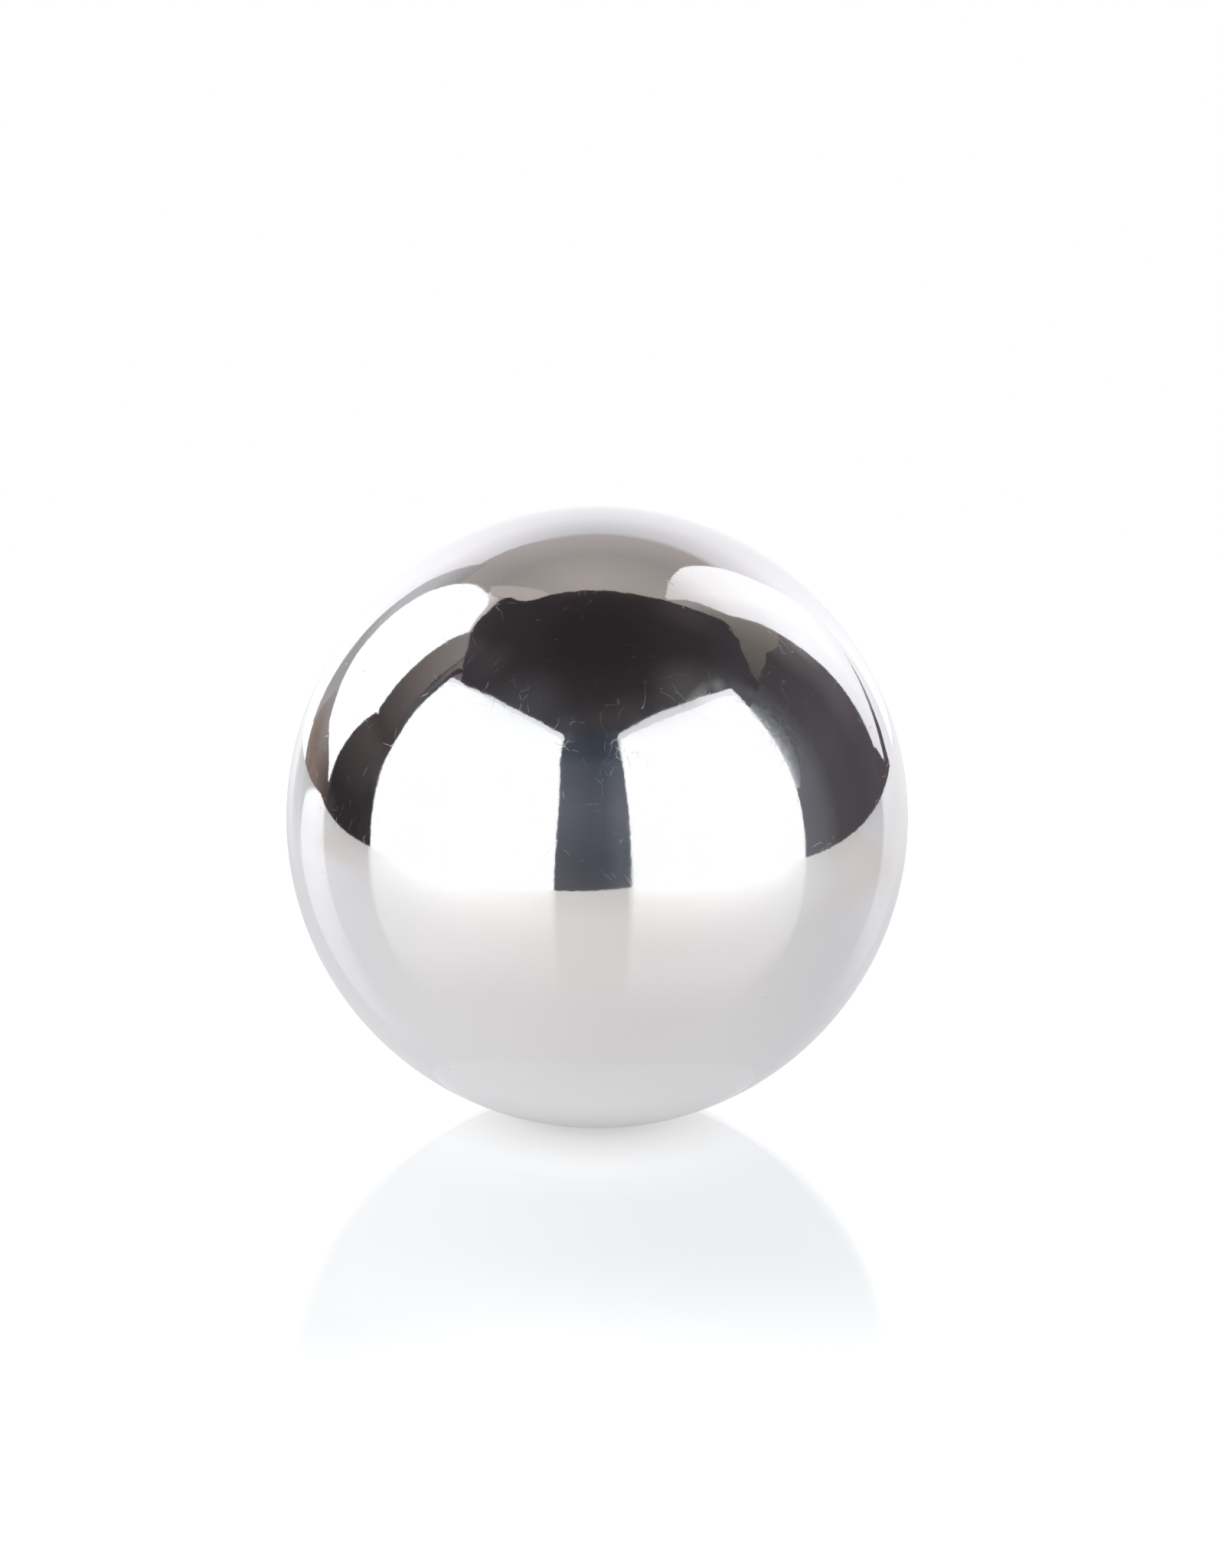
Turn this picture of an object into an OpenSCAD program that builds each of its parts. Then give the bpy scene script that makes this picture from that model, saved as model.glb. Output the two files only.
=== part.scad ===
// Solid steel ball, ground and polished all over.
// Millimetres, +Z up. The origin is the centre of the ball.

/* [Ball] */
// Diameter of the ball
ball_d = 50; // [3:0.5:100]

/* [Hidden] */
// Sides of the circles that draw the ball
ball_sides = 128;

// Colour of polished steel
steel_colour = [0.80, 0.80, 0.82];

// Every piece, by name

// The whole object: one true sphere with no flat, seam, hole or core.
module ball() {
  color(steel_colour)
    sphere(d = ball_d, $fn = ball_sides);
}

ball();
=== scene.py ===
"""A solid steel ball with a mirror polish, on a glossy white sheet in a small photo studio.

A mirror shows only what stands round it, so the studio is modelled too: two softboxes at the front, two
lights behind, dark walls between them and a pale backdrop. Its panels are seen only in reflections.
Directions are (azimuth, elevation) pairs in degrees from the ball's centre. Azimuth 0 is towards the
camera, 90 is to its right, and 180 is straight behind the ball. Lengths are in metres unless they say mm.
"""

import math

import bmesh
import bpy
import numpy as np
from mathutils import Matrix, Vector
from mathutils.geometry import delaunay_2d_cdt


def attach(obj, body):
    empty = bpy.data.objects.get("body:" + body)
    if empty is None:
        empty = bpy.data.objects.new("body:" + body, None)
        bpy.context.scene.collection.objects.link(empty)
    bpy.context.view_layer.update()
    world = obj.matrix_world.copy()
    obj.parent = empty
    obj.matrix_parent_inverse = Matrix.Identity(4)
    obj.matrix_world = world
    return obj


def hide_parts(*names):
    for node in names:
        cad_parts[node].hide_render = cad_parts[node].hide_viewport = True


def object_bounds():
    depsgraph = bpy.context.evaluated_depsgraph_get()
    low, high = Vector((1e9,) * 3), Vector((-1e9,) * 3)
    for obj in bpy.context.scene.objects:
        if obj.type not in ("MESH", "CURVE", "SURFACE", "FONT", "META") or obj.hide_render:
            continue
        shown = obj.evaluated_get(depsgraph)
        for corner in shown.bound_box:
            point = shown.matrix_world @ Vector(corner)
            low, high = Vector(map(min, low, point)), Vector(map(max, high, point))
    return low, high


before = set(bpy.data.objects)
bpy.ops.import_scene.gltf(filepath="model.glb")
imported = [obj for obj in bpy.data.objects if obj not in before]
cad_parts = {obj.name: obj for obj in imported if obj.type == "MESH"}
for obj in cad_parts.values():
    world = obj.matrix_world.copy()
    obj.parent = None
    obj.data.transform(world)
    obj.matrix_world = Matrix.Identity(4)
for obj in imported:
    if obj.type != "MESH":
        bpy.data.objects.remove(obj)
cad_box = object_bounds()

# The ball and the table top, from the CAD frame
BALL_CENTRE = (cad_box[0] + cad_box[1]) / 2
BALL_RADIUS = max(cad_box[1] - cad_box[0]) / 2
TABLE_Z = BALL_CENTRE.z - BALL_RADIUS
FOOT = (0, 0, TABLE_Z)

# The photograph's framing
FRAME_W_PX = 1600
FRAME_H_PX = 2048
BALL_X_PX = 779.9
BALL_Y_PX = 1067.4
BALL_RADIUS_PX = 406.3
CAMERA_ELEVATION = 20.4
CAMERA_ROLL = 0.54
CAMERA_DISTANCE = 2.0
SENSOR_MM = 36.0

# Light of a panel that the ball shows as pure white
PANEL_STRENGTH = 1.25

# Light Path's Ray Depth counts a ray's bounces. These values tell one bounce from two: the first on a
# surface, and the second in the world, where the count is one higher.
ONE_BOUNCE = 1.5
ONE_BOUNCE_TO_WORLD = 2.5


def linear(level):
    """Light of an 8-bit sRGB level."""
    v = level / 255
    return v / 12.92 if v <= 0.04045 else ((v + 0.055) / 1.055) ** 2.4


def seen(red, green, blue):
    """Colour of a panel that the ball shows at these 8-bit sRGB levels."""
    return (linear(red), linear(green), linear(blue), 1.0)


def even(red, green, blue):
    """Stops of a panel that has one colour all over."""
    return [(0, seen(red, green, blue))]


def grey(level):
    """Grey colour of a level, where 1 is white."""
    return (level, level, level, 1.0)


def direction(azimuth, elevation):
    """Unit vector from the ball towards an azimuth and an elevation in degrees."""
    a = math.radians(azimuth)
    e = math.radians(elevation)
    return Vector((math.sin(a) * math.cos(e), -math.cos(a) * math.cos(e), math.sin(e)))


def add_object(name, data):
    """A new object in the scene that shows a mesh, a lamp or a camera."""
    obj = bpy.data.objects.new(name, data)
    bpy.context.scene.collection.objects.link(obj)
    return obj


# ---------------------------------------- shader nodes


class Nodes:
    """Builds one node tree in few words. An input is a number, a colour or another node's output."""

    def __init__(self, owner):
        owner.use_nodes = True
        self.tree = owner.node_tree
        self.tree.nodes.clear()
        in_world = isinstance(owner, bpy.types.World)
        self.end = "ShaderNodeOutputWorld" if in_world else "ShaderNodeOutputMaterial"

    def put(self, value, socket):
        """Links an output to a socket, or sets the socket's own value."""
        if isinstance(value, bpy.types.NodeSocket):
            self.tree.links.new(value, socket)
        else:
            socket.default_value = value

    def add(self, kind, settings=None, **inputs):
        """A node of a kind, with its settings and its inputs by name. Spaces in a name are written as _."""
        node = self.tree.nodes.new(kind)
        for key, value in (settings or {}).items():
            setattr(node, key, value)
        for key, value in inputs.items():
            self.put(value, node.inputs[key.replace("_", " ")])
        return node

    def fill(self, kind, settings, values, first=0):
        """A node of a kind, with its settings and its inputs in order, from a first socket on."""
        node = self.add(kind, settings)
        for i, value in enumerate(values):
            self.put(value, node.inputs[first + i])
        return node

    def math(self, operation, *values):
        """Output of a Math node."""
        return self.fill("ShaderNodeMath", {"operation": operation}, values).outputs[0]

    def vector(self, operation, *values):
        """Output of a Vector Math node."""
        node = self.fill("ShaderNodeVectorMath", {"operation": operation}, values)
        return node.outputs["Value" if operation in ("DISTANCE", "DOT_PRODUCT") else "Vector"]

    def parts(self, vector):
        """The x, y and z of a vector."""
        return tuple(self.add("ShaderNodeSeparateXYZ", Vector=vector).outputs)

    def angles(self, vector):
        """Azimuth and elevation of a unit vector, in degrees."""
        x, y, z = self.parts(vector)
        azimuth = self.math("ARCTAN2", x, self.math("MULTIPLY", y, -1.0))
        return self.math("DEGREES", azimuth), self.math("DEGREES", self.math("ARCSINE", z))

    def span(self, value, low, high, to_low=0.0, to_high=1.0, smooth=True):
        """A value from low to high, mapped onto another range and held at its ends."""
        settings = {"interpolation_type": "SMOOTHSTEP" if smooth else "LINEAR"}
        return self.fill("ShaderNodeMapRange", settings, (value, low, high, to_low, to_high)).outputs[0]

    def ramp(self, value, stops):
        """Colour at a value from 0 to 1. Each stop is (place, colour)."""
        node = self.add("ShaderNodeValToRGB", Fac=value)
        elements = node.color_ramp.elements
        while len(elements) < len(stops):
            elements.new(0.5)
        for element, (place, colour) in zip(elements, stops):
            element.position = place
            element.color = colour
        return node.outputs["Color"]

    def shades(self, value, stops):
        """Colour at a value. Each stop is (value, colour), and a single stop is one even colour."""
        if len(stops) == 1:
            return stops[0][1]
        first = stops[0][0]
        last = stops[-1][0]
        share = self.span(value, first, last, smooth=False)
        return self.ramp(share, [((at - first) / (last - first), colour) for at, colour in stops])

    def blend(self, share, first, second):
        """A number that runs from the first to the second as a share runs from 0 to 1."""
        node = self.fill("ShaderNodeMix", {"data_type": "FLOAT"}, (first, second), first=2)
        self.put(share, node.inputs[0])
        return node.outputs[0]

    def blend_colours(self, share, first, second, blend_type="MIX"):
        """A colour that runs from the first to the second as a share runs from 0 to 1."""
        settings = {"data_type": "RGBA", "blend_type": blend_type}
        node = self.fill("ShaderNodeMix", settings, (first, second), first=6)
        self.put(share, node.inputs[0])
        return node.outputs[2]

    def tinted(self, factor, colour):
        """A colour times a factor."""
        return self.blend_colours(1.0, colour, factor, "MULTIPLY")

    def join(self, first, second):
        """Node that adds the light of two shaders."""
        return self.fill("ShaderNodeAddShader", None, (first.outputs[0], second.outputs[0]))

    def choose(self, share, first, second):
        """Node that shows the first shader where a share is 0, and the second where it is 1."""
        return self.fill("ShaderNodeMixShader", None, (share, first.outputs[0], second.outputs[0]))

    def finish(self, shader):
        """Ends the tree in its output."""
        self.put(shader.outputs[0], self.tree.nodes.new(self.end).inputs["Surface"])


def stage_material(name):
    """A new material for the stage, whose glow isn't sampled as a lamp, and its nodes."""
    material = bpy.data.materials.new(name)
    material.cycles.emission_sampling = "NONE"
    return material, Nodes(material)


# ---------------------------------------- camera


def camera_turn():
    """Directions of the camera: right, up and backwards."""
    turn = (-direction(0, CAMERA_ELEVATION)).to_track_quat("-Z", "Y").to_matrix()
    return turn @ Matrix.Rotation(math.radians(CAMERA_ROLL), 3, "Z")


def under_pixel(x, y):
    """Place on the ball that lies under a pixel of the photograph, in mm."""
    right = (x - BALL_X_PX) / BALL_RADIUS_PX
    up = (BALL_Y_PX - y) / BALL_RADIUS_PX
    out = camera_turn() @ Vector((right, up, math.sqrt(1 - right**2 - up**2)))
    return (BALL_CENTRE + out * BALL_RADIUS) * 1000


def make_camera():
    """A long lens from slightly above, turned so that the ball lies where the photograph has it."""
    data = bpy.data.cameras.new("camera")
    data.sensor_width = SENSOR_MM
    pixels_per_radian = BALL_RADIUS_PX * math.sqrt(CAMERA_DISTANCE**2 - BALL_RADIUS**2) / BALL_RADIUS
    data.lens = pixels_per_radian * SENSOR_MM / FRAME_H_PX

    turn = camera_turn()
    across = (BALL_X_PX - FRAME_W_PX / 2) / pixels_per_radian
    down = (BALL_Y_PX - FRAME_H_PX / 2) / pixels_per_radian
    place = turn @ Vector((-across, down, 1.0)) * CAMERA_DISTANCE
    camera = add_object("camera", data)
    camera.matrix_world = Matrix.Translation(BALL_CENTRE + place) @ turn.to_4x4()
    bpy.context.scene.camera = camera


# ---------------------------------------- studio: the world and the lamps

# Grey fill of the world on what it lights
AMBIENT = 0.40
# Light of the white background where the table mirrors it straight to the camera
SHINE_BEHIND = 2.1
# What the ball's mirror image in the table shows in place of the panels
LIGHT_IN_MIRROR_IMAGE = 0.75
# Its rim, which looks less than this many degrees off straight behind, shows ever more of the background
RIM_OF_MIRROR_IMAGE = 40
# What the table mirrors towards the ball, by azimuth from straight behind and counted to the left:
# (azimuth, light, elevation at which it ends). Straight behind is 0, left is 90 and the camera is 180.
MIRRORED_IN_TABLE = (
    (0, 1.25, 25), (6, 1.2, 22.5), (23.8, 1.25, 25), (26.3, 0.25, 30), (35, 0.06, 30), (37.5, 1.5, 55),
    (50, 1.65, 55), (58.9, 1.25, 45), (60.4, 0.14, 42), (88.2, 0.05, 42), (88.9, 1.2, 48), (96, 1.3, 54),
    (110, 1.4, 56), (130, 1.35, 54), (150, 1.12, 54), (160, 0.95, 54), (164.2, 0.85, 54), (165.2, 0.0, 55),
    (192.2, 0.06, 55), (193.2, 1.1, 60), (230, 1.42, 60), (250, 1.4, 58), (262, 1.1, 40), (263, 0.50, 30),
    (270, 0.45, 30), (278, 0.28, 28), (310.8, 0.08, 30), (312.6, 1.0, 42), (322, 1.0, 45), (330, 1.0, 42),
    (336, 1.1, 30), (360, 1.25, 25),
)
# It fades towards that elevation, from this share of it on
MIRRORED_FADE = 0.6
# The left light stands behind the sheet's edge, so its mirror image starts higher: (azimuth, elevation)
FOOT_OF_MIRRORED_LIGHT = (
    (35.3, 0), (35.8, 26), (37, 20.5), (38.5, 17.3), (40.4, 14.6), (42.2, 12.7), (45.7, 11.2), (51, 9.3),
    (56, 0),
)
# It comes up softly, from this many degrees under that foot to this many above it
FOOT_SOFTNESS = (-0.9, 0.36)

# The lamps stand in front of the softboxes: (name, azimuth)
LAMPS = (("lamp_left", -50), ("lamp_right", 46))
LAMP_ELEVATION = 22
LAMP_DISTANCE = 1.2
LAMP_WIDTH = 1.5
LAMP_HEIGHT = 1.0
LAMP_RADIANCE = 2.9


def light_mirrored_in_table(n):
    """What the table mirrors towards the ball. The ramps run through the whole circle of azimuths."""
    azimuth, elevation = n.angles(n.vector("NORMALIZE", n.add("ShaderNodeTexCoord").outputs["Generated"]))
    around = n.math("DIVIDE", n.math("ADD", azimuth, 180), 360)
    height = n.math("DIVIDE", elevation, 90)
    brightest = max(light for _, light, _ in MIRRORED_IN_TABLE)
    lights = n.ramp(around, [(at / 360, grey(light / brightest)) for at, light, _ in MIRRORED_IN_TABLE])
    tops = n.ramp(around, [(at / 360, grey(top / 90)) for at, _, top in MIRRORED_IN_TABLE])
    feet = n.ramp(around, [(at / 360, grey(foot / 90)) for at, foot in FOOT_OF_MIRRORED_LIGHT])
    fade = n.span(height, n.math("MULTIPLY", tops, MIRRORED_FADE), tops, 1.0, 0.0)
    rise = n.span(n.math("SUBTRACT", height, feet), *(degrees / 90 for degrees in FOOT_SOFTNESS))
    return n.math("MULTIPLY", n.math("MULTIPLY", lights, brightest), n.math("MULTIPLY", fade, rise))


def make_world():
    """White for the camera and in reflections, and a soft grey fill for what it lights.

    The real panels stand near, so the table mirrors them elsewhere than the far panels of this studio. For
    the ball's view of the table, the world stands in for them.
    """
    world = bpy.data.worlds.new("studio")
    bpy.context.scene.world = world
    n = Nodes(world)
    path = n.add("ShaderNodeLightPath").outputs
    shown = n.math("MAXIMUM", path["Is Camera Ray"], path["Is Glossy Ray"])
    shown = n.math("MAXIMUM", shown, path["Is Transmission Ray"])
    straight = n.math("LESS_THAN", path["Ray Depth"], ONE_BOUNCE_TO_WORLD)
    in_table = n.blend(straight, light_mirrored_in_table(n), SHINE_BEHIND)
    elsewhere = n.blend(shown, AMBIENT, n.blend(straight, LIGHT_IN_MIRROR_IMAGE, 1.0))
    strength = n.blend(path["Is Singular Ray"], elsewhere, in_table)
    n.finish(n.add("ShaderNodeBackground", Color=grey(1), Strength=strength))


def make_lamps():
    """Two rectangular lamps that face the ball. Reflections show the panels in their place."""
    for name, azimuth in LAMPS:
        data = bpy.data.lights.new(name, "AREA")
        data.shape = "RECTANGLE"
        data.size = LAMP_WIDTH
        data.size_y = LAMP_HEIGHT
        data.energy = LAMP_RADIANCE * math.pi * LAMP_WIDTH * LAMP_HEIGHT
        lamp = add_object(name, data)
        towards = direction(azimuth, LAMP_ELEVATION)
        lamp.location = BALL_CENTRE + towards * LAMP_DISTANCE
        lamp.rotation_euler = (-towards).to_track_quat("-Z", "Y").to_euler()
        lamp.visible_camera = False
        lamp.visible_glossy = False


# ---------------------------------------- studio: the table

# Directions in which the ball shows the corners of the white acrylic sheet that it lies on. White hides the
# edge in front of the softboxes, so the corners at -55.2 and 51.6 are guessed.
SHEET_EDGE = (
    (-144.2, -10.9), (-125, -8.4), (-119.5, -9.1), (-109.5, -9.5), (-91, -8.9), (-55.2, -7.1), (12.8, -5.6),
    (51.6, -5.7), (82, -8.2), (119.5, -9.85), (135, -10.2), (144, -10.7),
)
# The acrylic has a painted glow, an emission that stands in for light scattered in it, so its shadows are
# pale: part of its white is this painted glow
ACRYLIC_WHITE = (0.375, 0.367, 0.357, 1.0)
ACRYLIC_PAINTED_GLOW = (0.445, 0.436, 0.425, 1.0)
ACRYLIC_IOR = 1.49

# The sheet's painted light and shade change softly over these stretches: (start, end, value at the start,
# value at the end). Along x, painted light makes it a little brighter to the left of the ball than to the
# right.
SIDE_TONE = (-0.050, 0.030, 1.06, 0.975)
# A band of painted shade runs off to the right of the ball, duller still: y of its middle, loss by distance
# from there, and where it starts along x
SHADE_BAND_Y = -0.008
SHADE_BAND_LOSS = (0.0084, 0.028, 0.038, 0.0)
SHADE_BAND_START = (0.010, 0.035, 0.0, 1.0)
# Painted contact shadow: the crease between the ball and the sheet is darker, by distance from the ball's
# foot
CREASE_PAINTED_SHADOW = (0.003, 0.0155, 0.76, 1.0)
# At a grazing view, painted shade takes more of the sheet's white behind the ball than in front of it,
# along y
GRAZING_PAINTED_SHADE = (-0.08, -0.01, 0.5, 1.6)
# Soft spots of painted shade, where the gain is below 0, and of painted light, where it is above: (x and y
# of the middle, radius, gain)
PAINTED_TABLE_SPOTS = (
    (0.094, 0.068, 0.043, -0.035),
    (0.005, -0.027, 0.023, -0.040),
    (-0.061, 0.048, 0.032, 0.055),
    (-0.020, 0.000, 0.025, 0.050),
    (0.028, 0.018, 0.024, 0.045),
)

# Mirrored in the ball, it has a painted tint of light: creamier in front, and brighter and bluer behind:
# (y, share of each colour)
PAINTED_LIGHT_BY_Y = (
    (-0.150, (0.940, 0.935, 0.900)), (-0.100, (0.995, 0.995, 0.973)), (-0.025, (1.005, 1.005, 1.005)),
    (-0.006, (0.998, 1.010, 1.040)), (0.022, (1.080, 1.090, 1.145)), (0.052, (1.007, 1.020, 1.060)),
)
# ... and pinker beside the ball, by distance from this x, and between two soft ends along y
FAR_TINT = (0.985, 0.945, 0.930, 1.0)
FAR_TINT_X = -0.018
FAR_TINT_REACH = (0.066, 0.100, 0.0, 1.0)
FAR_TINT_FRONT = (-0.030, 0.022, 0.0, 1.0)
FAR_TINT_BACK = (0.035, 0.055, 1.0, 0.0)

# The camera sees a painted tint of the sky-white background on the sheet, as a painted reflection, and less
# of it in the crease
CAMERA_TINT = (0.010, 0.042, 0.078, 1.0)
CAMERA_TINT_SHARE = (0.009, 0.014, 0.38, 1.0)
# It sees the sheet fade into the background away from the ball, along squares with round corners
CAMERA_FADE = (0.030, 0.095, 0.0, 0.42)
SQUARENESS = 4.0
# ... but more slowly at one spot: (x and y of its middle, radius, share held back)
SLOW_FADE = (-0.022, -0.048, 0.019, 0.75)
# It sees more light in the crease: (distance from the foot, light)
CREASE_LIFT = (
    (0.0035, 0.03), (0.0050, 0.10), (0.0075, 0.155), (0.0092, 0.14), (0.0127, 0.085), (0.0165, 0.03),
    (0.0210, 0.0),
)


def shown_on_table(azimuth, elevation):
    """Place on the table that the ball shows the camera in a direction below the horizon."""
    ray = direction(azimuth, elevation)
    start = BALL_CENTRE + (ray + direction(0, CAMERA_ELEVATION)).normalized() * BALL_RADIUS
    return start + ray * ((TABLE_Z - start.z) / ray.z)


def sheet_tone(n, position, gleam):
    """Share of the sheet's white that is left at each place: its painted light and shade."""
    x, y, _ = n.parts(position)
    # Painted shade in a band that runs off to the right of the ball
    off_band = n.math("ABSOLUTE", n.math("SUBTRACT", y, SHADE_BAND_Y))
    band = n.math("MULTIPLY", n.span(off_band, *SHADE_BAND_LOSS), n.span(x, *SHADE_BAND_START))
    tone = n.math("SUBTRACT", n.span(x, *SIDE_TONE), band)
    # Soft spots of painted shade and painted light
    for spot_x, spot_y, radius, gain in PAINTED_TABLE_SPOTS:
        away = n.vector("DISTANCE", position, (spot_x, spot_y, TABLE_Z))
        tone = n.math("ADD", tone, n.span(away, 0, radius, gain, 0))
    # Painted contact shadow in the crease round the ball's foot
    tone = n.math("MULTIPLY", tone, n.span(n.vector("DISTANCE", position, FOOT), *CREASE_PAINTED_SHADOW))
    # Painted shade that grows with the sheet's gleam at a grazing view
    loss = n.math("MULTIPLY", n.span(y, *GRAZING_PAINTED_SHADE), n.math("MULTIPLY", gleam, gleam))
    return n.math("MULTIPLY", tone, n.math("SUBTRACT", 1.0, loss))


def sheet_tint(n, position, by_camera):
    """Faint painted tint of light on the sheet at each place. The camera sees the sheet without it."""
    _, y, _ = n.parts(position)
    # A ramp holds no value above 1, so the colours are halved in it
    halved = [(at, (*(level / 2 for level in share), 1)) for at, share in PAINTED_LIGHT_BY_Y]
    tint = n.tinted(n.shades(y, halved), grey(2))
    away = n.vector("DISTANCE", position, (FAR_TINT_X, 0, TABLE_Z))
    beside = n.math("MULTIPLY", n.span(y, *FAR_TINT_FRONT), n.span(y, *FAR_TINT_BACK))
    far = n.math("MULTIPLY", n.span(away, *FAR_TINT_REACH), beside)
    return n.blend_colours(by_camera, n.blend_colours(far, tint, FAR_TINT), grey(1))


def sheet_for_camera(n, position, by_camera):
    """Light that only the camera sees on the sheet: a tint, a fade to white and a lift in the crease."""
    x, y, _ = n.parts(position)
    from_foot = n.vector("DISTANCE", position, FOOT)
    tint_share = n.math("MULTIPLY", n.span(from_foot, *CAMERA_TINT_SHARE), by_camera)
    tinted = n.add("ShaderNodeEmission", Color=CAMERA_TINT, Strength=tint_share)

    powers = [n.math("POWER", n.math("ABSOLUTE", side), SQUARENESS) for side in (x, y)]
    outwards = n.math("POWER", n.math("ADD", *powers), 1 / SQUARENESS)
    slow_x, slow_y, radius, held = SLOW_FADE
    away = n.vector("DISTANCE", position, (slow_x, slow_y, TABLE_Z))
    fade = n.math("MULTIPLY", n.span(outwards, *CAMERA_FADE), n.span(away, 0, radius, 1 - held, 1))
    faded = n.add("ShaderNodeEmission", Strength=n.math("MULTIPLY", fade, by_camera))

    lift = n.shades(from_foot, [(at, grey(light)) for at, light in CREASE_LIFT])
    lifted = n.add("ShaderNodeEmission", Color=lift, Strength=by_camera)
    return n.join(n.join(tinted, faded), lifted)


def table_material():
    """Glossy white acrylic with a painted glow and painted light and shade. The camera sees it fade to the
    background's white away from the ball.
    """
    material, n = stage_material("white_acrylic")
    geometry = n.add("ShaderNodeNewGeometry").outputs
    path = n.add("ShaderNodeLightPath").outputs
    position = geometry["Position"]
    by_camera = path["Is Camera Ray"]
    # In the ball's mirror image the sheet has no gleam of its own
    direct = n.math("LESS_THAN", path["Ray Depth"], ONE_BOUNCE)
    gleam = n.math("MULTIPLY", n.add("ShaderNodeFresnel", IOR=ACRYLIC_IOR).outputs[0], direct)
    tone = sheet_tone(n, position, gleam)
    tint = sheet_tint(n, position, by_camera)

    white = n.add("ShaderNodeBsdfDiffuse", Color=n.tinted(n.tinted(tone, ACRYLIC_WHITE), tint))
    gloss = n.add("ShaderNodeBsdfGlossy", Color=gleam, Roughness=0.0)
    # Painted glow: an emission that the camera and reflections see on the sheet, dimmed where its tone has
    # painted shade
    shown = n.math("MULTIPLY", tone, n.math("MAXIMUM", by_camera, path["Is Glossy Ray"]))
    glow = n.add("ShaderNodeEmission", Color=n.tinted(tint, ACRYLIC_PAINTED_GLOW), Strength=shown)
    acrylic = n.join(n.join(n.join(white, gloss), glow), sheet_for_camera(n, position, by_camera))
    n.finish(n.choose(geometry["Backfacing"], acrylic, n.add("ShaderNodeBsdfTransparent")))
    return material


def make_table():
    """The sheet of acrylic."""
    mesh = bpy.data.meshes.new("table")
    corners = [shown_on_table(*towards) for towards in SHEET_EDGE]
    mesh.from_pydata(corners, [], [tuple(range(len(corners)))])
    mesh.update()
    if mesh.polygons[0].normal.z < 0:
        mesh.flip_normals()
    mesh.materials.append(table_material())
    add_object("table", mesh)


# ---------------------------------------- studio: the panels

# Outlines and tones were measured on the reflection in the photograph. A panel has only the few tones that
# it needs, set where its tone turns and with soft gradients between them.

# Panels reach this far below the horizon, where the table hides them
BELOW = -16
# They are divided into steps of about this many degrees, so that they curve round the ball
WIDEST_STEP = 4.0
HALVINGS = 5
# Their outlines are filled only on the inside, and points nearer than this are taken as one
FILL_INSIDE = 1
SAME_POINT = 1e-6


def mirror_image_light(n, towards):
    """What the ball's mirror image in the table shows: one even light, and the background near its rim."""
    ahead = n.vector("DOT_PRODUCT", towards, direction(180, CAMERA_ELEVATION))
    rim = n.span(ahead, math.cos(math.radians(RIM_OF_MIRROR_IMAGE)), 1.0, smooth=False)
    return n.blend(n.math("POWER", rim, 2.0), LIGHT_IN_MIRROR_IMAGE, SHINE_BEHIND)


def panel_material(name, middle, by_elevation, by_azimuth, glows):
    """Light of a panel. Its colour runs through stops of (degrees, colour), by elevation times by azimuth.

    A glow is (azimuth, elevation, half width, half height, light) of a soft spot that is added. The table
    doesn't mirror the panel: there the world shows instead. The ball's mirror image shows even light.
    """
    material, n = stage_material(name)
    away = n.vector("NORMALIZE", n.add("ShaderNodeNewGeometry").outputs["Position"])
    # Azimuth is counted from the middle of the panel, so that it doesn't jump within it
    turned = n.add("ShaderNodeVectorRotate", {"rotation_type": "Z_AXIS"}, Vector=away,
                   Angle=-math.radians(middle))
    aside, elevation = n.angles(turned.outputs[0])
    azimuth = n.math("ADD", aside, middle)

    colour = n.tinted(n.shades(elevation, by_elevation), n.shades(azimuth, by_azimuth))
    panel = n.add("ShaderNodeEmission", Color=colour, Strength=PANEL_STRENGTH)
    for centre, level, half_width, half_height, light in glows:
        sideways = n.math("DIVIDE", n.math("SUBTRACT", azimuth, centre), half_width)
        upwards = n.math("DIVIDE", n.math("SUBTRACT", elevation, level), half_height)
        reach = n.math("SQRT", n.math("ADD", n.math("POWER", sideways, 2.0), n.math("POWER", upwards, 2.0)))
        strength = n.span(reach, 0, 1, PANEL_STRENGTH, 0)
        panel = n.join(panel, n.add("ShaderNodeEmission", Color=(*light, 1), Strength=strength))

    path = n.add("ShaderNodeLightPath").outputs
    image = n.add("ShaderNodeEmission", Strength=mirror_image_light(n, away))
    shown = n.choose(n.math("GREATER_THAN", path["Ray Depth"], ONE_BOUNCE), panel, image)
    n.finish(n.choose(path["Is Singular Ray"], shown, n.add("ShaderNodeBsdfTransparent")))
    return material


def finely(outline):
    """The outline with extra points, so that no step is wider than WIDEST_STEP degrees."""
    points = []
    for start, end in zip(outline, outline[1:] + outline[:1]):
        wide = max(abs(end[0] - start[0]), abs(end[1] - start[1]))
        steps = max(1, math.ceil(wide / WIDEST_STEP))
        for i in range(steps):
            points.append(tuple(a + (b - a) * i / steps for a, b in zip(start, end)))
    return points


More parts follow.
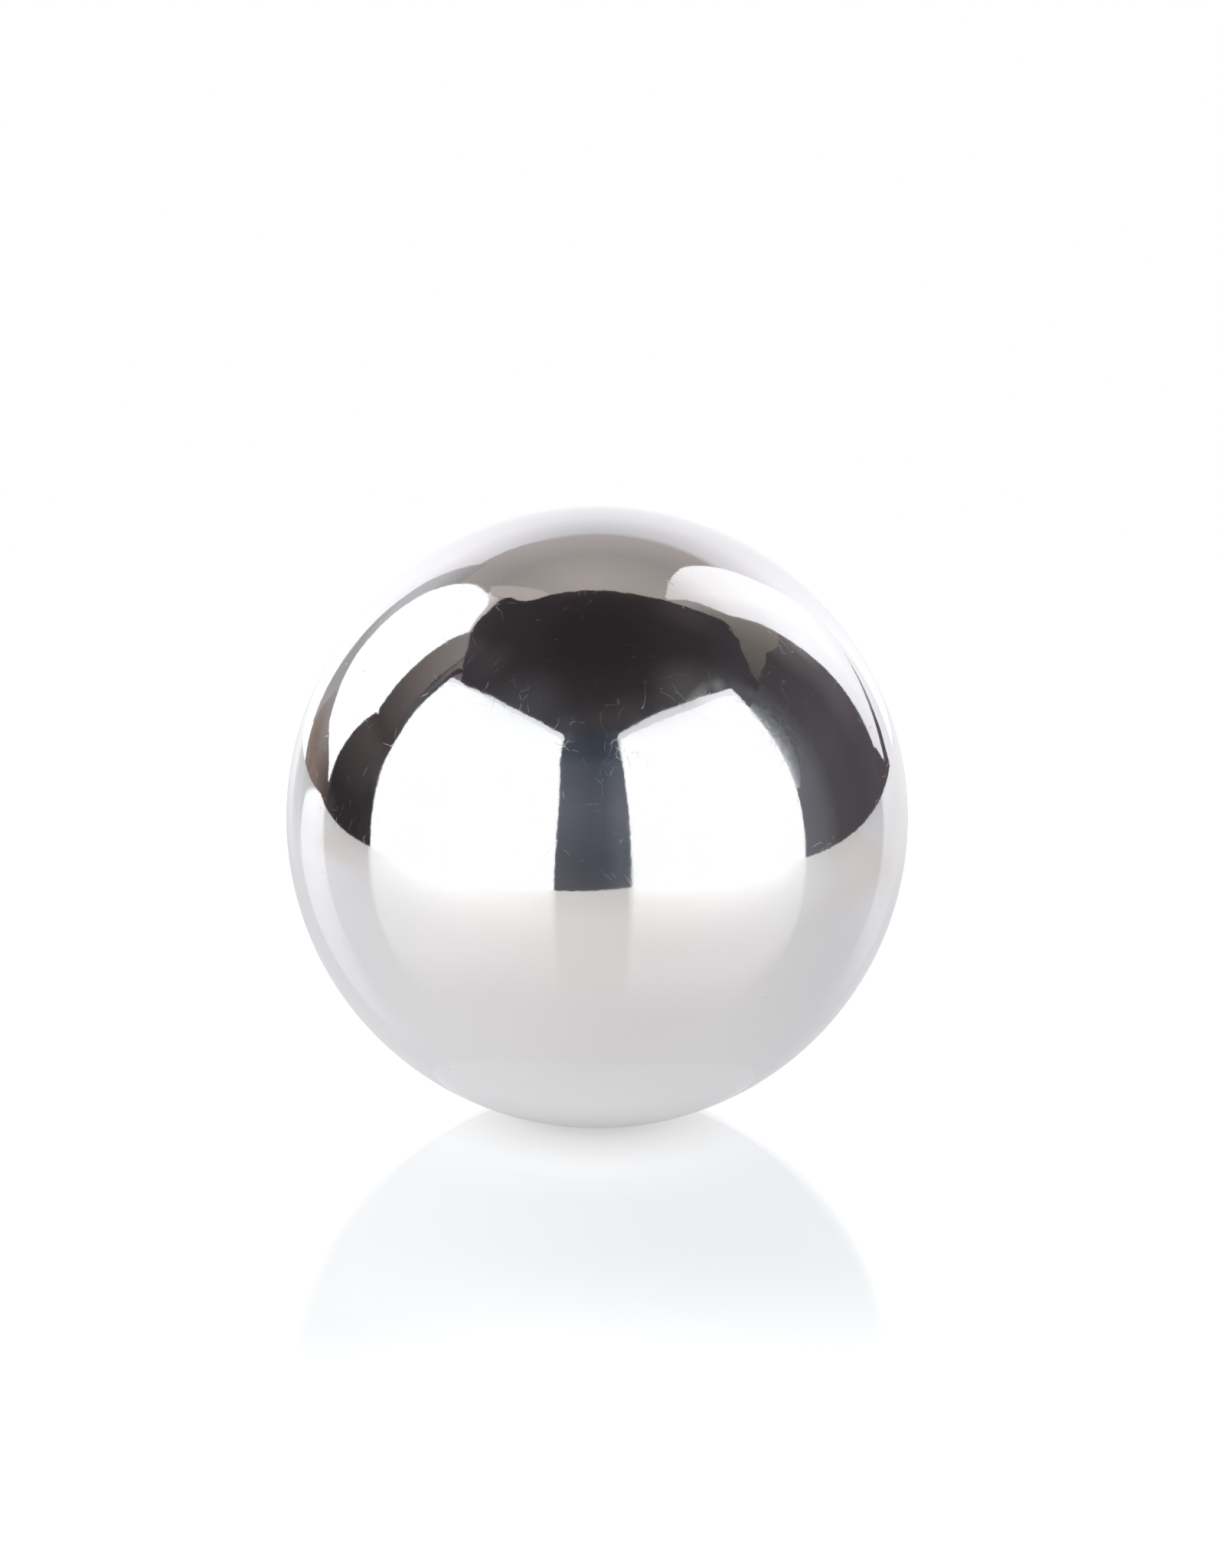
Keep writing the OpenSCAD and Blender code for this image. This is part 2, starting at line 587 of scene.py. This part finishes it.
def panel_mesh(name, distance, outline):
    """Mesh that fills an outline of directions, at a distance from the ball and curved round it."""
    border = [Vector(point) for point in finely(outline)]
    face = list(range(len(border)))
    corners, _, triangles, *_ = delaunay_2d_cdt(border, [], [face], FILL_INSIDE, SAME_POINT)
    built = bmesh.new()
    verts = [built.verts.new((*corner, 0)) for corner in corners]
    for triangle in triangles:
        built.faces.new([verts[i] for i in triangle])
    for _ in range(HALVINGS):
        wide = [edge for edge in built.edges if edge.calc_length() > 2 * WIDEST_STEP]
        bmesh.ops.subdivide_edges(built, edges=wide, cuts=1)
        bmesh.ops.triangulate(built, faces=built.faces[:])
    for vert in built.verts:
        vert.co = BALL_CENTRE + direction(vert.co.x, vert.co.y) * distance
    mesh = bpy.data.meshes.new(name)
    built.to_mesh(mesh)
    built.free()
    return mesh


def make_panel(name, distance, outline, by_elevation, by_azimuth=((0, grey(1)),), glows=()):
    """A panel at a distance, with an outline of directions. Nearer panels hide farther ones."""
    mesh = panel_mesh(name, distance, outline)
    sides = [azimuth for azimuth, _ in outline]
    middle = (min(sides) + max(sides)) / 2
    mesh.materials.append(panel_material(name, middle, by_elevation, by_azimuth, glows))
    panel = add_object(name, mesh)
    panel.visible_camera = False
    panel.visible_diffuse = False
    panel.visible_shadow = False
    panel.visible_transmission = False


def make_left_softbox():
    """The left softbox at the front. Its white cloth lies a little below the box's pale lip."""
    left_side = [
        (-94.5, BELOW), (-90.8, -8.9), (-92.2, 1), (-93.5, 8), (-94.2, 12), (-94.5, 22), (-95.5, 30),
    ]
    right_side = [(-16.0, 30), (-15.3, 24), (-15.1, 10), (-15.3, 0), (-15.2, -7.4), (-15.2, BELOW)]
    make_panel(
        "softbox_left", 8.0,
        outline=left_side + [
            (-95.4, 36), (-95.7, 42), (-92, 44.3), (-86, 46.4), (-80, 48.3), (-70, 50.3), (-60, 51.2),
            (-50, 51.6), (-40, 51.4), (-30, 50.3), (-22, 48.9), (-19.0, 47.9), (-18.3, 44), (-18.1, 40),
            (-16.9, 36),
        ] + right_side,
        by_elevation=[(46, seen(255, 255, 255)), (49, seen(252, 253, 253)), (51.5, seen(246, 247, 247))],
    )
    make_panel(
        "lip_left", 8.1,
        outline=left_side + [
            (-95.5, 40), (-96.3, 43.5), (-95, 44.5), (-90, 46.2), (-85, 47.4), (-80, 49.2), (-75, 50.2),
            (-70, 51.4), (-65, 52.1), (-60, 52.4), (-55, 52.8), (-50, 53.1), (-45, 53), (-40, 52.8),
            (-35, 52.5), (-30, 51.8), (-25, 51), (-20, 50.2), (-18.8, 49.4), (-18.1, 48.4), (-17.9, 46),
            (-17.8, 40), (-16.7, 35.5),
        ] + right_side,
        by_elevation=even(228, 229, 231),
    )


def make_right_softbox():
    """The right softbox, and the pale fringe at its outer side."""
    left_side = [(12.8, BELOW), (12.8, -5.6), (12.7, 5), (12.6, 24), (12.2, 30)]
    right_side = [(84.6, 33), (84.2, 22), (83.7, 12), (82.9, 4), (82.0, -8.2), (81.6, BELOW)]
    make_panel(
        "softbox_right", 8.0,
        outline=left_side + [
            (12.1, 34), (12.1, 40), (11.8, 46), (12.7, 48.8), (16, 49.9), (20, 50.8), (25, 51.4),
            (30, 52.0), (36, 52.5), (44, 52.6), (50, 52.4), (56, 51.7), (62, 51), (68, 50.2), (74, 49),
            (80, 47.2), (84.6, 44.6), (84.7, 40),
        ] + right_side,
        by_elevation=[(47, seen(255, 255, 255)), (50, seen(251, 251, 251)), (52.5, seen(244, 244, 245))],
    )
    make_panel(
        "lip_right", 8.1,
        outline=left_side + [
            (11.9, 38), (11.7, 40), (11.0, 46), (10.8, 48), (11.1, 50.1), (12, 51.1), (15, 52.0),
            (20, 53.2), (25, 54.1), (30, 54.9), (35, 55.4), (40, 55.6), (45, 55.5), (50, 55.1), (55, 54.6),
            (60, 54), (65, 53.3), (70, 52.3), (75, 50.8), (80, 49.2), (85, 47.5), (86.6, 46.7), (86.0, 44),
            (85.3, 40),
        ] + right_side,
        by_elevation=even(210, 212, 213),
        by_azimuth=[(62, grey(1)), (70, (1.22, 1.21, 1.20, 1)), (86, (1.28, 1.27, 1.26, 1))],
    )
    make_panel(
        "fringe_right", 8.9,
        outline=[(82.5, 12), (83.5, 42), (86.5, 41), (90.5, 36), (91.5, 24), (88.5, 15), (85.5, 11)],
        by_elevation=[
            (9, seen(215, 215, 215)), (16, seen(250, 250, 250)), (26, seen(250, 250, 250)),
            (35, seen(233, 233, 233)),
        ],
        by_azimuth=[
            (84.0, seen(192, 194, 196)), (86, seen(146, 148, 151)), (88.5, seen(118, 120, 123)),
            (91.5, seen(106, 107, 110)),
        ],
    )


def make_lights_behind():
    """The two lights behind the ball, with the left one's edge and a dark sliver before the right one."""
    make_panel(
        "light_behind_left", 8.6,
        outline=[
            (-119.2, 48.8), (-118.8, 44), (-117.2, 39), (-114.4, 30), (-112, 21), (-111.7, 19),
            (-110.3, 18.4), (-112, 17.5), (-114, 14.5), (-117, 9), (-118.5, 5), (-119.8, 1), (-120.6, -4.6),
            (-121.7, -4.0), (-123.6, -2.2), (-127, -1.0), (-131, -0.3), (-135, 0), (-139, 2), (-142, 3),
            (-145, 5.2), (-146.6, 8), (-148.4, 13), (-149.6, 20), (-149.1, 29), (-148.2, 34),
            (-147.1, 37.5), (-145.2, 41), (-142.6, 44.6), (-139.2, 47.6), (-135, 49.4), (-131, 49.6),
            (-127, 49.1),
        ],
        by_elevation=even(255, 255, 255),
    )
    make_panel(
        "edge_of_light_left", 8.7,
        outline=[
            (-119.5, 45), (-119, 49.3), (-127.5, 50.3), (-130, 51.2), (-137, 51.7), (-139.3, 51.2),
            (-140.5, 48.5), (-142.6, 45),
        ],
        by_elevation=[(46, seen(228, 222, 219)), (52, seen(168, 157, 152))],
    )
    make_panel(
        "light_behind_right", 8.6,
        outline=[
            (131.5, 45), (131.7, 40), (132.2, 35), (131.9, 31), (131.65, 26), (132.1, 20), (132.75, 14),
            (134.1, 3), (134.5, -3.7), (135.6, -4), (137, -5.5), (139, -7.5), (140.3, -8), (154, BELOW),
            (154, 20), (156.0, 28), (157.0, 32), (157.6, 36), (158.0, 40), (157.5, 43), (156.2, 47),
            (154.1, 51), (151.5, 54.5), (148.4, 57.3), (145.6, 59.6), (143.3, 60.4), (142.5, 59),
            (141.3, 56.8), (139.8, 54.4), (137.5, 52), (135, 49.8), (133, 47.5),
        ],
        by_elevation=[
            (-8, seen(229, 226, 229)), (10, seen(255, 255, 255)), (30, seen(255, 255, 255)),
            (43, seen(246, 242, 241)), (55, seen(210, 204, 203)), (60, seen(202, 195, 192)),
        ],
        by_azimuth=[(131, grey(0.84)), (137, grey(0.90)), (143, grey(1)), (158, grey(0.97))],
        glows=[(135, 21, 7, 14, (0.075, 0.075, 0.070))],
    )
    make_panel(
        "sliver_behind_right", 8.4,
        outline=[
            (138.7, BELOW), (144.9, BELOW), (144.9, -8.4), (145.6, -7.1), (146.2, -5.0), (147.5, -2.9),
            (149.4, -0.8), (151.2, 1.5), (148.6, 0.4), (146.0, -1.4), (143.4, -3.5), (142.0, -5.1),
            (140.9, -6.7), (140.1, -8.2), (138.7, -9.5),
        ],
        by_elevation=[(-5, seen(80, 77, 77)), (-2, seen(130, 128, 130)), (1, seen(180, 178, 180))],
    )


def make_pale_edges():
    """The strip and the pale edge beside the left light, and the pale patch above it."""
    make_panel(
        "strip_behind_left", 9.2,
        outline=[
            (-150, -5), (-148, -9), (-145, -11), (-145, BELOW), (-119, BELOW), (-119, -4), (-122, 2),
            (-150, 8),
        ],
        by_elevation=[(-5.5, (0.77, 0.62, 0.56, 1)), (-0.5, grey(1))],
        by_azimuth=[
            (-148, seen(162, 160, 158)), (-141, seen(142, 137, 134)), (-134, seen(142, 137, 136)),
            (-123, seen(97, 96, 97)), (-117, seen(76, 75, 78)),
        ],
    )
    make_panel(
        "edge_behind_left", 8.9,
        outline=[
            (-157, 28), (-157, 31), (-145, 31), (-139, 6), (-139, 3.4), (-142, 0.5), (-145.6, -3.5),
            (-148, -7), (-149.5, -8.5), (-151, -5), (-152, 0), (-154, 10), (-155.5, 15),
        ],
        by_elevation=[
            (4, seen(156, 154, 154)), (12, seen(182, 182, 182)), (20, seen(178, 178, 178)),
            (30, seen(148, 143, 142)),
        ],
    )
    make_panel(
        "patch_above_left", 8.8,
        outline=[
            (-139.8, 52.6), (-140.4, 54), (-139.8, 56), (-139.4, 58), (-140, 60), (-142.5, 61.4),
            (-146, 62.1), (-152, 63.4), (-150.5, 58), (-148.5, 53), (-147.3, 48), (-146.2, 43.5),
            (-141, 47),
        ],
        by_elevation=even(170, 163, 159),
    )


def make_dark_middle():
    """The dark studio overhead, and the neck between the softboxes where the camera stands."""
    make_panel(
        "dark_overhead", 8.5,
        outline=[
            (-180, 66.6), (-165, 65.7), (-155, 64.2), (-150, 63.2), (-146, 62.3), (-142.5, 61.4),
            (-140.3, 60), (-139.5, 58), (-140, 56), (-140.7, 54), (-140, 52.8), (-138, 51.9), (-130, 51.4),
            (-127.5, 50.4), (-118, 49.5), (-108.9, 49.8), (-104.8, 49), (-100.1, 48.2), (-97.5, 47.9),
            (-94.9, 47.4), (-92.5, 46.9), (-91, 46.3), (-88, 43), (-85, 40), (-40, 40), (-19, 45),
            (-18, 52.5), (12.3, 52.5), (12.3, 40), (40, 40), (90, 38.8), (100.6, 39.4), (100.9, 41.2),
            (102.4, 42.1), (104.3, 43.2), (107.8, 44.2), (112.5, 45.8), (118, 45.7), (120, 47), (125, 47.1),
            (127, 48.0), (128.5, 50.2), (130.5, 52.8), (132, 54.4), (134, 56.2), (137, 58.0), (140, 59.7),
            (143.3, 60.9), (150, 63.6), (155, 64.7), (159.5, 65.3), (164.6, 66.1), (180, 66.5), (180, 90),
            (-180, 90),
        ],
        by_elevation=[
            (44, seen(60, 57, 60)), (58, seen(50, 46, 47)), (68, seen(47, 42, 43)), (80, seen(40, 35, 36)),
        ],
        glows=[
            (-47, 56, 40, 18, (0.025, 0.028, 0.035)),
            (-92, 57, 20, 10, (0.013, 0.014, 0.015)),
            (-106, 52, 11, 6, (0.018, 0.012, 0.013)),
            (-18, 52, 14, 8, (0.013, 0.016, 0.020)),
            (-7, 56, 26, 12, (0.008, 0.010, 0.012)),
            (23, 57, 34, 12, (0.016, 0.017, 0.018)),
            (65, 57, 34, 16, (0.042, 0.043, 0.043)),
            (85, 50, 12, 8, (0.018, 0.019, 0.020)),
            (93, 49, 14, 10, (0.008, 0.008, 0.009)),
            (87.5, 43.5, 10, 7, (0.044, 0.048, 0.048)),
            (92, 40, 6, 4, (0.034, 0.035, 0.035)),
            (82, 50.5, 8, 3.6, (0.088, 0.096, 0.092)),
            (68, 53.6, 18, 3.0, (0.102, 0.100, 0.096)),
            (133, 59, 26, 12, (0.020, 0.016, 0.016)),
            (-169, 66, 30, 5, (0.012, 0.008, 0.006)),
            (168, 66, 25, 5, (0.010, 0.007, 0.005)),
        ],
    )
    make_panel(
        "dark_neck", 9.5,
        outline=[(-25, 54), (20, 54), (20, BELOW), (-25, BELOW)],
        by_elevation=[
            (-5, seen(92, 94, 98)), (4, seen(87, 90, 97)), (23, seen(99, 102, 109)),
            (39, seen(86, 90, 98)), (43, seen(70, 77, 85)), (53, seen(66, 67, 72)),
        ],
        by_azimuth=[
            (-18, grey(0.95)), (-9, (0.81, 0.80, 0.80, 1)), (-3, (0.68, 0.69, 0.71, 1)),
            (3, (0.71, 0.71, 0.74, 1)), (9, grey(1)),
        ],
        glows=[(-16, 49, 5, 5, (0.020, 0.020, 0.025))],
    )


def make_left_wall():
    """The dark wall on the left, its nearer part, and a line and a shade on it."""
    make_panel(
        "wall_left", 9.5,
        outline=[(-125, 54), (-85, 54), (-85, BELOW), (-125, BELOW)],
        by_elevation=[
            (-2, seen(48, 44, 45)), (13, seen(75, 69, 68)), (18, seen(66, 60, 58)), (28, seen(89, 82, 81)),
            (50, seen(130, 123, 119)),
        ],
        glows=[(-117, -8, 6, 5, (0.022, 0.019, 0.019))],
    )
    # The near part of the left wall starts at this edge, and a dark line runs along it
    edge = [
        (-102.7, 49.4), (-101.7, 47.2), (-101, 45.3), (-100.9, 43), (-99.8, 40.2), (-99.4, 37.5),
        (-98.9, 34.5),
    ]
    make_panel(
        "wall_left_near", 9.4,
        outline=edge + [(-98.8, 25), (-98, 10), (-98, BELOW), (-85, BELOW), (-85, 49)],
        by_elevation=[
            (3, seen(52, 49, 49)), (10, seen(73, 68, 69)), (20, seen(65, 62, 62)), (30, seen(85, 83, 84)),
            (38, seen(87, 86, 88)), (49, seen(116, 108, 107)),
        ],
    )
    make_panel(
        "line_left", 9.3,
        outline=[
            (-99.7, 30), (-100.1, 34.1), (-100.7, 37), (-101.4, 39.8), (-102, 42.6), (-102.4, 44.9),
            (-103.1, 46.7), (-104.6, 49.4),
        ] + edge + [(-98.8, 30)],
        by_elevation=[(30, seen(88, 83, 84)), (40, seen(74, 66, 69)), (49, seen(104, 96, 96))],
    )
    make_panel(
        "shade_left", 9.2,
        outline=[
            (-97, 30), (-97, 37.2), (-97.1, 39.5), (-97.6, 41.5), (-98.4, 43.6), (-98.8, 44.9),
            (-99.1, 46.2), (-98.3, 47.2), (-95.7, 47.7), (-94.9, 47), (-95.9, 45.8), (-96.3, 44.4),
            (-92, 43), (-92, 30),
        ],
        by_elevation=[(30, seen(82, 80, 82)), (42, seen(66, 62, 65)), (46, seen(60, 53, 57))],
    )


def make_right_wall():
    """The dark wall on the right, and a wedge of paler wall above it."""
    make_panel(
        "wall_right", 9.2,
        outline=[
            (80, 44), (92, 44), (100, 42), (100.7, 39.7), (105.2, 39.7), (108.2, 38.9), (113.4, 37.7),
            (117.5, 37.4), (119, 36.4), (122, 34), (125, 32.1), (129, 30.8), (131.5, 30), (140, 30),
            (140, BELOW), (80, BELOW),
        ],
        by_elevation=[
            (3, grey(0.92)), (13, grey(1)), (33, (0.74, 0.74, 0.73, 1)), (40, (0.70, 0.70, 0.68, 1)),
        ],
        by_azimuth=[
            (85, seen(106, 107, 111)), (93, seen(97, 97, 101)), (101, seen(79, 76, 79)),
            (117, seen(76, 71, 74)), (131, seen(81, 76, 78)),
        ],
        glows=[
            (128, 32, 14, 18, (0.055, 0.052, 0.050)),
            (129, 14, 13, 14, (0.028, 0.024, 0.026)),
            (131.5, 24, 5, 9, (0.088, 0.087, 0.085)),
        ],
    )
    make_panel(
        "wedge_right", 9.6,
        outline=[(95, 38), (95, 54), (128, 54), (140, 61), (146, 61), (146, 28), (130, 28)],
        by_elevation=even(255, 255, 255),
        by_azimuth=[
            (103, seen(83, 80, 77)), (120, seen(105, 99, 94)), (130, seen(122, 117, 111)),
            (137, seen(148, 140, 138)),
        ],
    )


def make_backdrop():
    """The pale backdrop and the ceiling behind the ball."""
    make_panel(
        "ceiling", 9.8,
        outline=[
            (130, 30.8), (185, 30.8), (195, 28.4), (204, 28), (215, 33), (230, 33), (230, 72), (130, 72),
        ],
        by_elevation=[(28, seen(168, 162, 158)), (45, seen(152, 144, 140)), (60, seen(162, 154, 148))],
        by_azimuth=[(158, grey(0.92)), (180, grey(1)), (192, grey(1)), (206, grey(0.90))],
    )
    make_panel(
        "backdrop", 10.2,
        outline=[(130, BELOW), (230, BELOW), (230, 36), (130, 36)],
        by_elevation=[
            (-9, seen(253, 253, 255)), (12, seen(243, 241, 244)), (28, seen(209, 205, 206)),
            (31, seen(170, 166, 162)),
        ],
        by_azimuth=[
            (156, grey(1)), (168, grey(0.85)), (180, grey(0.80)), (186, grey(0.84)), (198, grey(1)),
        ],
    )


# ---------------------------------------- the ball

# Each side of the cube that is blown up into the ball has this many faces along its edges
FACES_ALONG_SIDE = 112
# Waves that the lapping leaves in the surface: the shortest and the longest, and how high they are
WAVE_COUNT = 60
WAVE_LENGTHS = (0.002, 0.012)
WAVE_HEIGHT = 1.5e-7
WAVE_SEED = 7

# Finish of the steel: roughness of the polish, and of each kind of mark on it
STEEL_COLOUR = (0.80, 0.80, 0.82, 1.0)
POLISH_ROUGHNESS = 0.04
SMUDGE_ROUGHNESS = 0.035
WISP_ROUGHNESS = 0.075
SCRATCH_ROUGHNESS = 0.22
SPECK_ROUGHNESS = 0.27
# How much of the colour a speck and a smudge take away
SPECK_DULLNESS = 0.15
SMUDGE_DULLNESS = 0.012

# From here on, sizes on the ball are in mm, and the scales of noises are per mm.
# Hairline scratches in three directions: (turn in degrees, spacing, half width)
SCRATCHES = (
    ((12, 20, 0), 5.0, 0.042),
    ((75, -15, 30), 6.5, 0.038),
    ((40, 60, -25), 8.0, 0.046),
)
# Finer and closer scratches where the ball is worn
WORN_SCRATCHES = ((-30, 25, 50), 1.9, 0.034)
# Seeds of the patches in which scratches show: for the worn places, and the step between directions
WORN_SEED = 31.0
SEED_STEP = 7.3
# Along a scratch the cells are this much less close than across it. It sways this far to the sides.
CLOSENESS_ALONG = 0.3
SWAY = 1.6
SWAY_SCALE = 0.5
# Scratches show between these levels of a noise. Where the ball is worn, this much is added to the noise.
PATCH_SCALE = 0.9
PATCH_LEVELS = (0.54, 0.61)
WORN_SHARE = 0.07
# Places with more fine scratches: (x and y in the photograph's pixels, radius, share of haze there)
WORN_PLACES = (
    (1024, 955, 5.5, 1.0),
    (890, 900, 4.0, 0.3),
    (798, 1000, 3.0, 0.0),
    (752, 955, 3.5, 0.0),
    (668, 915, 4.0, 0.0),
    (1020, 842, 2.5, 0.0),
    (412, 995, 3.5, 0.0),
    (455, 1060, 3.0, 0.0),
)
# They are fully worn out to this share of their radius
WORN_CORE = 0.3
# Wisps of haze and smudges show between two levels of their noises
WISP_SCALE = 1.3
WISP_LEVELS = (0.47, 0.62)
SMUDGE_SCALE = 0.16
SMUDGE_LEVELS = (0.50, 0.75)
# Specks of dust: spacing, share of the spaces that hold one, and size of the widest
SPECK_SPACING = 1.7
SPECK_SHARE = 0.16
SPECK_SIZE = 0.15
# Faint ripples that the last polish leaves, and that make reflections ragged. Their depth is in metres.
RIPPLE_SIZE = 0.34
RIPPLE_DEPTH = 0.9e-6


def ball_points():
    """Unit vectors of an evenly divided cube, blown up into a sphere, and the faces between them."""
    n = FACES_ALONG_SIDE
    steps = np.tan(np.linspace(-math.pi / 4, math.pi / 4, n + 1))
    u, v = np.meshgrid(steps, steps, indexing="ij")
    one = np.ones_like(u)
    sides = ((one, u, v), (-one, v, u), (v, one, u), (u, -one, v), (u, v, one), (v, u, -one))
    points = np.concatenate([np.stack(side, -1).reshape(-1, 3) for side in sides])
    points /= np.linalg.norm(points, axis=1, keepdims=True)
    corner = (np.arange(n)[:, None] * (n + 1) + np.arange(n)[None, :]).ravel()
    quads = np.stack([corner, corner + n + 1, corner + n + 2, corner + 1], -1)
    quads = np.concatenate([quads + side * (n + 1) ** 2 for side in range(6)])
    # Points that two sides of the cube share are merged
    _, first, same = np.unique(np.round(points, 6), axis=0, return_index=True, return_inverse=True)
    return points[first], same.ravel()[quads]


def lapping_waves(points):
    """Height of the surface's faint waves at each unit vector."""
    rng = np.random.default_rng(WAVE_SEED)
    height = np.zeros(len(points))
    for _ in range(WAVE_COUNT):
        run = rng.normal(size=3)
        run /= np.linalg.norm(run)
        length = math.exp(rng.uniform(*np.log(WAVE_LENGTHS)))
        turns = points @ run * (BALL_RADIUS * 2 * math.pi / length)
        height += length * np.sin(turns + rng.uniform(0, 2 * math.pi))
    return height * (WAVE_HEIGHT / WAVE_LENGTHS[0] / math.sqrt(WAVE_COUNT))


def worn_places(n, place):
    """How worn the ball is at a place, and how many wisps of haze lie there."""
    worn = 0.0
    wispy = 0.0
    for x, y, radius, haze in WORN_PLACES:
        away = n.vector("DISTANCE", place, under_pixel(x, y))
        near = n.span(away, WORN_CORE * radius, radius, 1.0, 0.0)
        worn = n.math("MAXIMUM", worn, near)
        if haze:
            wispy = n.math("ADD", wispy, n.math("MULTIPLY", near, haze))
    return worn, wispy


def scratches(n, place, turn, spacing, half_width, seed, worn):
    """Share of a hairline scratch at a place. Scratches are thin walls between long cells, in patches."""
    turn = tuple(math.radians(angle) for angle in turn)
    turned = n.add("ShaderNodeVectorRotate", {"rotation_type": "EULER_XYZ"}, Vector=place, Rotation=turn)
    turned = turned.outputs[0]
    sway = n.add("ShaderNodeTexNoise", Vector=turned, Scale=SWAY_SCALE, Detail=1.0).outputs["Color"]
    swayed = n.vector("MULTIPLY_ADD", sway, (SWAY, SWAY, SWAY), turned)
    long = n.vector("MULTIPLY", swayed, (1 / spacing, 1 / spacing, CLOSENESS_ALONG / spacing))
    walls = n.add("ShaderNodeTexVoronoi", {"feature": "DISTANCE_TO_EDGE"}, Vector=long, Scale=1.0)
    line = n.span(walls.outputs["Distance"], 0.0, half_width / spacing, 1.0, 0.0)
    patches = n.add("ShaderNodeTexNoise", {"noise_dimensions": "4D"}, Vector=turned, W=seed,
                    Scale=PATCH_SCALE, Detail=2.0)
    level = n.math("ADD", patches.outputs["Fac"], n.math("MULTIPLY", worn, WORN_SHARE))
    return n.math("MULTIPLY", line, n.span(level, *PATCH_LEVELS))


def specks(n, place):
    """1 in a speck of dust, and 0 beside it."""
    cells = n.add("ShaderNodeTexVoronoi", Vector=place, Scale=1 / SPECK_SPACING)
    chance = n.add("ShaderNodeSeparateColor", Color=cells.outputs["Color"]).outputs
    size = n.math("MULTIPLY", chance["Green"], SPECK_SIZE / SPECK_SPACING)
    dusty = n.math("LESS_THAN", chance["Red"], SPECK_SHARE)
    return n.math("MULTIPLY", dusty, n.math("LESS_THAN", cells.outputs["Distance"], size))


def steel_material():
    """Mirror-polished steel with hairline scratches, fine specks and smudges."""
    material = bpy.data.materials.new("polished_steel")
    n = Nodes(material)
    place = n.vector("MULTIPLY", n.add("ShaderNodeTexCoord").outputs["Object"], (1000.0, 1000.0, 1000.0))

    worn, wispy = worn_places(n, place)
    marks = n.math("MULTIPLY", worn, scratches(n, place, *WORN_SCRATCHES, WORN_SEED, worn))
    for i, layer in enumerate(SCRATCHES):
        marks = n.math("MAXIMUM", marks, scratches(n, place, *layer, i * SEED_STEP, worn))
    haze = n.add("ShaderNodeTexNoise", Vector=place, Scale=WISP_SCALE, Detail=4.0, Distortion=1.2)
    wisps = n.math("MULTIPLY", wispy, n.span(haze.outputs["Fac"], *WISP_LEVELS))
    speck = specks(n, place)
    clouds = n.add("ShaderNodeTexNoise", Vector=place, Scale=SMUDGE_SCALE, Detail=4.0, Roughness=0.6)
    smudge = n.span(clouds.outputs["Fac"], *SMUDGE_LEVELS)

    rough = n.math("ADD", POLISH_ROUGHNESS, n.math("MULTIPLY", smudge, SMUDGE_ROUGHNESS))
    rough = n.math("ADD", rough, n.math("MULTIPLY", wisps, WISP_ROUGHNESS))
    rough = n.math("MAXIMUM", rough, n.math("MULTIPLY", marks, SCRATCH_ROUGHNESS))
    rough = n.math("MAXIMUM", rough, n.math("MULTIPLY", speck, SPECK_ROUGHNESS))
    clean = n.math("SUBTRACT", 1.0, n.math("MULTIPLY", speck, SPECK_DULLNESS))
    clean = n.math("SUBTRACT", clean, n.math("MULTIPLY", smudge, SMUDGE_DULLNESS))
    ripples = n.add("ShaderNodeTexNoise", Vector=place, Scale=1 / RIPPLE_SIZE, Detail=1.0).outputs["Fac"]
    bump = n.add("ShaderNodeBump", Height=ripples, Strength=1.0, Distance=RIPPLE_DEPTH)
    n.finish(n.add("ShaderNodeBsdfPrincipled", Metallic=1.0, Base_Color=n.tinted(clean, STEEL_COLOUR),
                   Roughness=rough, Normal=bump.outputs[0]))
    return material


def make_ball():
    """The ball's dense, smooth mesh, in place of the CAD solid."""
    points, faces = ball_points()
    places = points * (BALL_RADIUS + lapping_waves(points))[:, None] + np.array(BALL_CENTRE)
    mesh = bpy.data.meshes.new("polished_ball")
    mesh.from_pydata(places.tolist(), [], faces.tolist())
    built = bmesh.new()
    built.from_mesh(mesh)
    bmesh.ops.recalc_face_normals(built, faces=built.faces[:])
    built.to_mesh(mesh)
    built.free()
    mesh.polygons.foreach_set("use_smooth", [True] * len(mesh.polygons))
    mesh.materials.append(steel_material())
    mesh.update()
    ball = add_object("polished_ball", mesh)
    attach(ball, "root")
    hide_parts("ball")


make_camera()
make_world()
make_lamps()
make_table()
make_left_softbox()
make_right_softbox()
make_lights_behind()
make_pale_edges()
make_dark_middle()
make_left_wall()
make_right_wall()
make_backdrop()
make_ball()

bpy.context.scene.view_settings.view_transform = "Standard"
